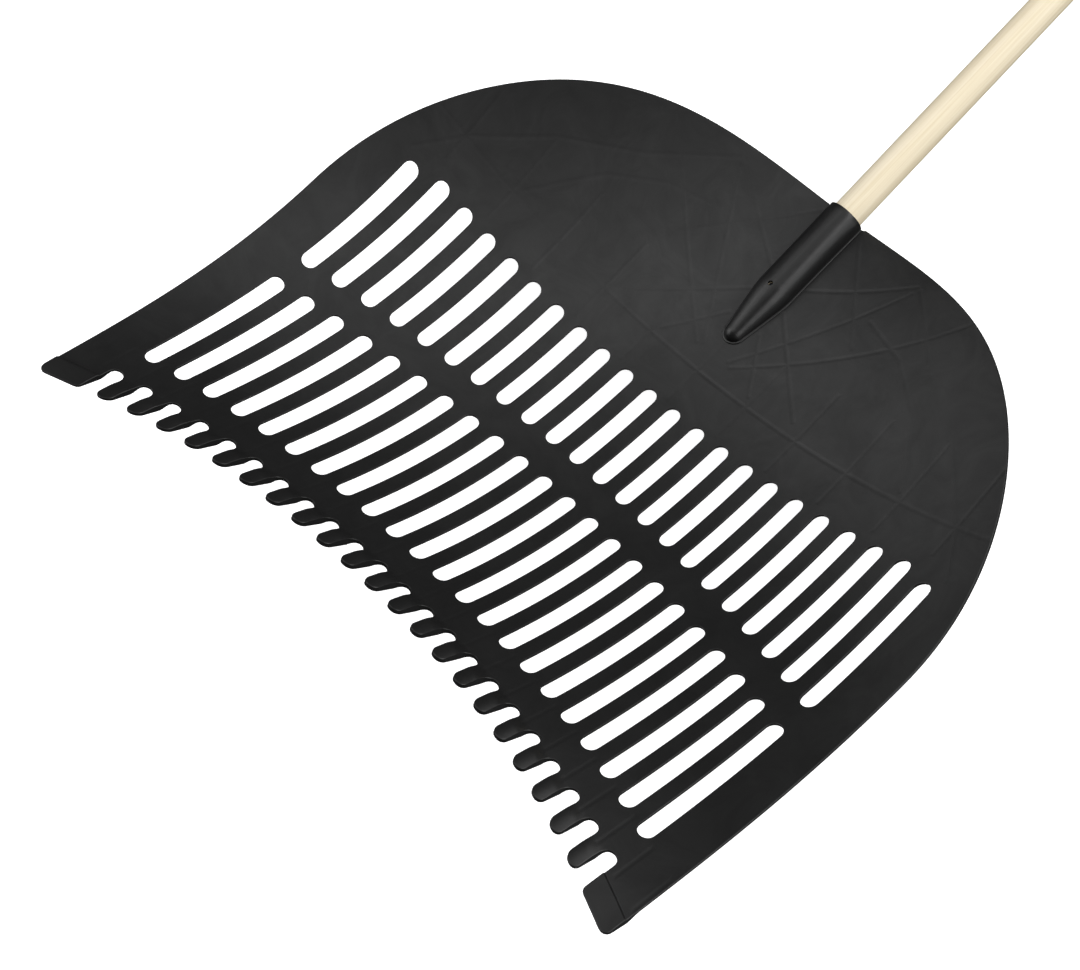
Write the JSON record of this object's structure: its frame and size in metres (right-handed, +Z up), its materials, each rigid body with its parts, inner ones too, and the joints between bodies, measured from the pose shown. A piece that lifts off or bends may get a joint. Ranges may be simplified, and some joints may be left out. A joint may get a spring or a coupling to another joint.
{
  "type": "hay rake",
  "caption": "Broad dished scoop rake for loose hay: a slotted black plastic blade with a comb of short blunt front teeth, and a round wooden handle pinned into a tapered socket.",
  "frame": {"origin": "middle of the bounding box's base, on the floor, with the rake lying at rest: handle level and the handle socket's underside on the floor", "axes": "+Y along the handle from the blade to the butt, +X across the blade, which is symmetric about x = 0, +Z up, on the side of the blade that holds the hay"},
  "size_m": [0.6964, 1.7776, 0.2158],
  "materials": {
    "blade_plastic": "black polypropylene, moulded, satin",
    "socket_plastic": "black polypropylene, moulded, semi-gloss",
    "handle_wood": "turned and sanded pale wood, bare",
    "pin_steel": "plain drawn steel"
  },
  "bodies": {
    "root": {"blade": "blade_plastic", "handle_socket": "socket_plastic", "handle": "handle_wood", "fixing_pin": "pin_steel"}
  },
  "joints": []
}
